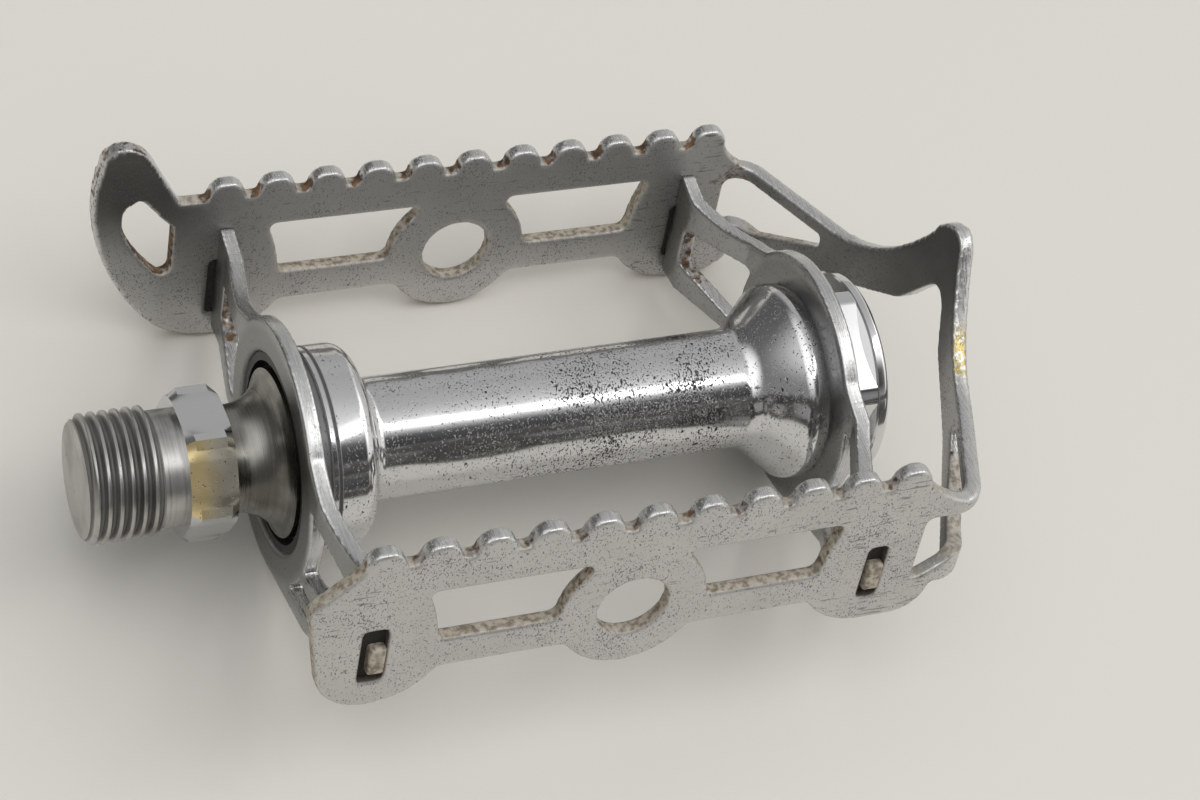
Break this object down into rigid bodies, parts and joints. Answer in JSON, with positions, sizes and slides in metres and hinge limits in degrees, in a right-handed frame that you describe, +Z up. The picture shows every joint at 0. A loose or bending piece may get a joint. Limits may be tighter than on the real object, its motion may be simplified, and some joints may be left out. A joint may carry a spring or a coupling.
{
  "type": "bicycle quill pedal",
  "caption": "Quill pedal: folded toothed steel cage with end horn and side ear on a chromed barrel that turns on ball bearings round a threaded spindle.",
  "frame": {"origin": "on the spindle axis, at the face of the hexagon collar that bears on the crank, where the crank thread ends", "axes": "+X along the spindle from the crank outwards, +Z up, -Y towards the plain cage plate; the pedal lies as it rests on a table"},
  "size_m": [0.1027, 0.0674, 0.0359],
  "materials": {
    "cage_steel": "worn plated sheet steel, speckled, with rust in the cut edges",
    "plate_steel": "worn plated sheet steel with bright cut edges",
    "barrel_chrome": "mirror chrome with fine dark pits",
    "cap_chrome": "chrome, lightly worn",
    "spindle_steel": "turned steel, oily",
    "bearing_steel": "hardened steel",
    "ball_steel": "polished bearing steel"
  },
  "bodies": {
    "spindle": {"spindle": "spindle_steel", "outer_cone": "bearing_steel", "lock_washer": "bearing_steel", "lock_nut": "bearing_steel"},
    "pedal": {"cage": "cage_steel", "inner_cross_plate": "plate_steel", "outer_cross_plate": "plate_steel", "barrel": "barrel_chrome", "inner_bearing_cup": "bearing_steel", "outer_bearing_cup": "bearing_steel", "dust_seal": "bearing_steel", "dust_cap": "cap_chrome"},
    "inner_balls": {"inner_ball_01": "ball_steel", "inner_ball_02": "ball_steel", "inner_ball_03": "ball_steel", "inner_ball_04": "ball_steel", "inner_ball_05": "ball_steel", "inner_ball_06": "ball_steel", "inner_ball_07": "ball_steel", "inner_ball_08": "ball_steel", "inner_ball_09": "ball_steel", "inner_ball_10": "ball_steel", "inner_ball_11": "ball_steel", "inner_ball_12": "ball_steel"},
    "outer_balls": {"outer_ball_01": "ball_steel", "outer_ball_02": "ball_steel", "outer_ball_03": "ball_steel", "outer_ball_04": "ball_steel", "outer_ball_05": "ball_steel", "outer_ball_06": "ball_steel", "outer_ball_07": "ball_steel", "outer_ball_08": "ball_steel", "outer_ball_09": "ball_steel", "outer_ball_10": "ball_steel", "outer_ball_11": "ball_steel", "outer_ball_12": "ball_steel"}
  },
  "joints": [
    {"name": "pedal_spin", "type": "hinge", "parent": "spindle", "child": "pedal", "pos_m": [0, 0, 0], "axis": [1, 0, 0], "continuous": true},
    {"name": "inner_balls_orbit", "type": "hinge", "parent": "spindle", "child": "inner_balls", "pos_m": [0.0168, 0, 0], "axis": [1, 0, 0], "continuous": true},
    {"name": "outer_balls_orbit", "type": "hinge", "parent": "spindle", "child": "outer_balls", "pos_m": [0.0726, 0, 0], "axis": [1, 0, 0], "continuous": true}
  ],
  "couplings": [
    {"joint": "inner_balls_orbit", "follows": "pedal_spin", "ratio": 0.5877},
    {"joint": "outer_balls_orbit", "follows": "pedal_spin", "ratio": 0.5877}
  ]
}
